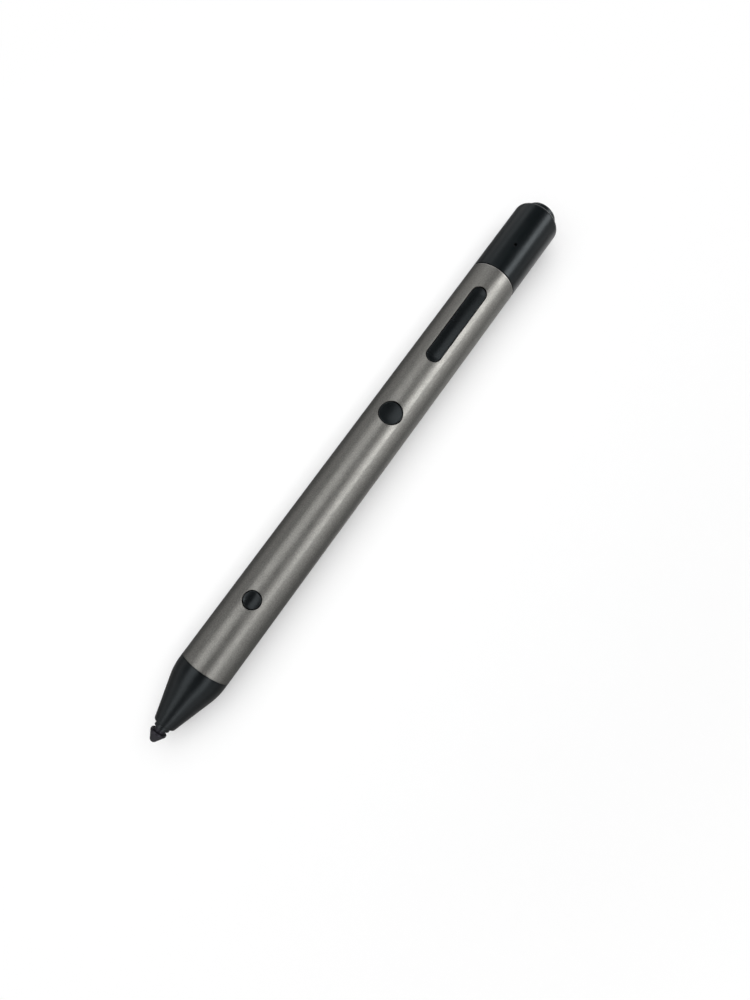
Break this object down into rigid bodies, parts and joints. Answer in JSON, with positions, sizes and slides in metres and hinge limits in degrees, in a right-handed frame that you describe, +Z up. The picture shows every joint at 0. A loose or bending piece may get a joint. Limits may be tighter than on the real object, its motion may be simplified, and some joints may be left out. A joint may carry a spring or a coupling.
{
  "type": "stylus pen",
  "caption": "Rechargeable tablet stylus with a metal barrel, tapered black nose, pressure-sensing nib, flush side keys, and a pull-up tail cap with an end button over its charging socket.",
  "frame": {"origin": "on the surface that the pen lies on, under the middle of its length and width", "axes": "+X along the pen from the nib to the tail, +Z up through the keys, +Y across"},
  "size_m": [0.1354, 0.0104, 0.0105],
  "materials": {
    "anodised_aluminium": "bead-blasted, anodised warm grey",
    "nose_plastic": "satin moulded black",
    "guide_plastic": "satin moulded black",
    "nib_plastic": "fine matt black",
    "key_plastic": "satin moulded black",
    "tail_plastic": "satin-gloss black",
    "tail_button_plastic": "satin moulded black",
    "smoked_plastic": "smoked clear",
    "brass": "turned",
    "steel": "nickel-plated",
    "frame_plastic": "moulded dark grey",
    "board_laminate": "green solder mask",
    "chip_resin": "black moulding resin",
    "white_resin": "white",
    "cell_can": "sleeved grey",
    "ribbon_film": "amber film"
  },
  "bodies": {
    "pen": {"barrel": "anodised_aluminium", "nose_cone": "nose_plastic", "nib_guide": "guide_plastic", "ring_electrode": "brass", "pressure_sensor": "steel", "sensor_ribbon": "ribbon_film", "inner_frame": "frame_plastic", "main_board": "board_laminate", "board_screws": "steel", "controller_chip": "chip_resin", "radio_module": "steel", "lower_switch": "chip_resin", "upper_switch": "chip_resin", "rocker_front_switch": "chip_resin", "rocker_rear_switch": "chip_resin", "rocker_bracket": "steel", "rocker_pin": "steel", "battery_cell": "cell_can", "cell_tabs": "steel", "tail_ribbon": "ribbon_film", "tail_sleeve": "frame_plastic", "retaining_ring": "frame_plastic", "charge_port_shell": "steel", "charge_port_tongue": "chip_resin", "tail_board": "board_laminate", "status_led": "white_resin", "antenna": "white_resin", "tail_switch": "chip_resin"},
    "nib": {"nib": "nib_plastic", "nib_socket": "brass"},
    "lower_button": {"lower_button": "key_plastic"},
    "upper_button": {"upper_button": "key_plastic"},
    "rocker": {"rocker": "key_plastic"},
    "tail_cap": {"tail_cap": "tail_plastic", "light_pipe": "smoked_plastic"},
    "tail_button": {"tail_button": "tail_button_plastic"}
  },
  "joints": [
    {"name": "nib_press", "type": "slide", "parent": "pen", "child": "nib", "axis": [1, 0, 0], "range_m": [0, 0.00035], "stiffness_N_per_m": 6000},
    {"name": "lower_press", "type": "slide", "parent": "pen", "child": "lower_button", "axis": [0, 0, -1], "range_m": [0, 0.00025], "stiffness_N_per_m": 6000},
    {"name": "upper_press", "type": "slide", "parent": "pen", "child": "upper_button", "axis": [0, 0, -1], "range_m": [0, 0.00025], "stiffness_N_per_m": 6000},
    {"name": "rocker_tilt", "type": "hinge", "parent": "pen", "child": "rocker", "pos_m": [0.03252, 0, 0.00761], "axis": [0, 1, 0], "range_deg": [-1.6, 1.6], "stiffness_Nm_per_rad": 0.4},
    {"name": "tail_pull", "type": "slide", "parent": "pen", "child": "tail_cap", "axis": [1, 0, 0], "range_m": [0, 0.011]},
    {"name": "tail_press", "type": "slide", "parent": "tail_cap", "child": "tail_button", "axis": [-1, 0, 0], "range_m": [0, 0.0004], "stiffness_N_per_m": 5000}
  ]
}
